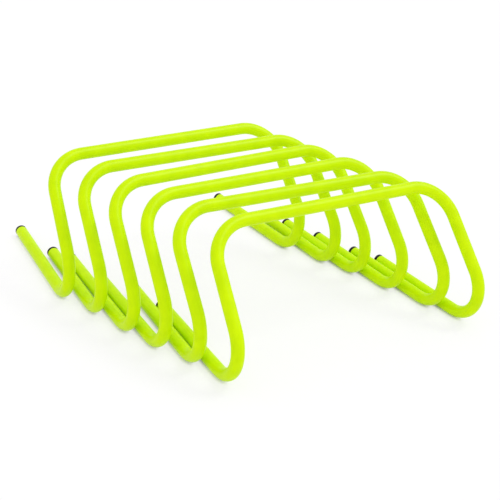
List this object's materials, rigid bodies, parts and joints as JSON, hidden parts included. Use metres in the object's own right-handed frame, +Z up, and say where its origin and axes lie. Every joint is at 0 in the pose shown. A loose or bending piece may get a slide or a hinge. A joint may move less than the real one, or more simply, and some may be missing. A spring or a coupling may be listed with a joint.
{
  "type": "speed hurdle set",
  "caption": "Nested row of low training hurdles, each one bent lime tube with a crossbar, leaning legs and long feet closed by black plugs; drawn apart along the floor for step-over drills.",
  "frame": {"origin": "on the floor, under the middle of the whole row's extents", "axes": "+X along the crossbars to the right seen from the front, +Y from the toes back to the plugged foot ends, +Z up"},
  "size_m": [0.5952, 0.645, 0.23],
  "materials": {
    "lime_tube": "satin-gloss extruded rigid PVC, self-coloured",
    "black_plug": "moulded polyethylene, matt"
  },
  "bodies": {
    "hurdle_1": {"hurdle_1_tube": "lime_tube", "hurdle_1_left_plug": "black_plug", "hurdle_1_right_plug": "black_plug"},
    "hurdle_2": {"hurdle_2_tube": "lime_tube", "hurdle_2_left_plug": "black_plug", "hurdle_2_right_plug": "black_plug"},
    "hurdle_3": {"hurdle_3_tube": "lime_tube", "hurdle_3_left_plug": "black_plug", "hurdle_3_right_plug": "black_plug"},
    "hurdle_4": {"hurdle_4_tube": "lime_tube", "hurdle_4_left_plug": "black_plug", "hurdle_4_right_plug": "black_plug"},
    "hurdle_5": {"hurdle_5_tube": "lime_tube", "hurdle_5_left_plug": "black_plug", "hurdle_5_right_plug": "black_plug"},
    "hurdle_6": {"hurdle_6_tube": "lime_tube", "hurdle_6_left_plug": "black_plug", "hurdle_6_right_plug": "black_plug"}
  },
  "joints": [
    {"name": "hurdle_2_draw_out", "type": "slide", "parent": "hurdle_1", "child": "hurdle_2", "axis": [0.0358, -0.9994, 0], "range_m": [-0.01, 0.25]},
    {"name": "hurdle_3_draw_out", "type": "slide", "parent": "hurdle_2", "child": "hurdle_3", "axis": [0.0358, -0.9994, 0], "range_m": [-0.01, 0.25]},
    {"name": "hurdle_4_draw_out", "type": "slide", "parent": "hurdle_3", "child": "hurdle_4", "axis": [0.0358, -0.9994, 0], "range_m": [-0.01, 0.25]},
    {"name": "hurdle_5_draw_out", "type": "slide", "parent": "hurdle_4", "child": "hurdle_5", "axis": [0.0358, -0.9994, 0], "range_m": [-0.01, 0.25]},
    {"name": "hurdle_6_draw_out", "type": "slide", "parent": "hurdle_5", "child": "hurdle_6", "axis": [0.0358, -0.9994, 0], "range_m": [-0.01, 0.25]}
  ]
}
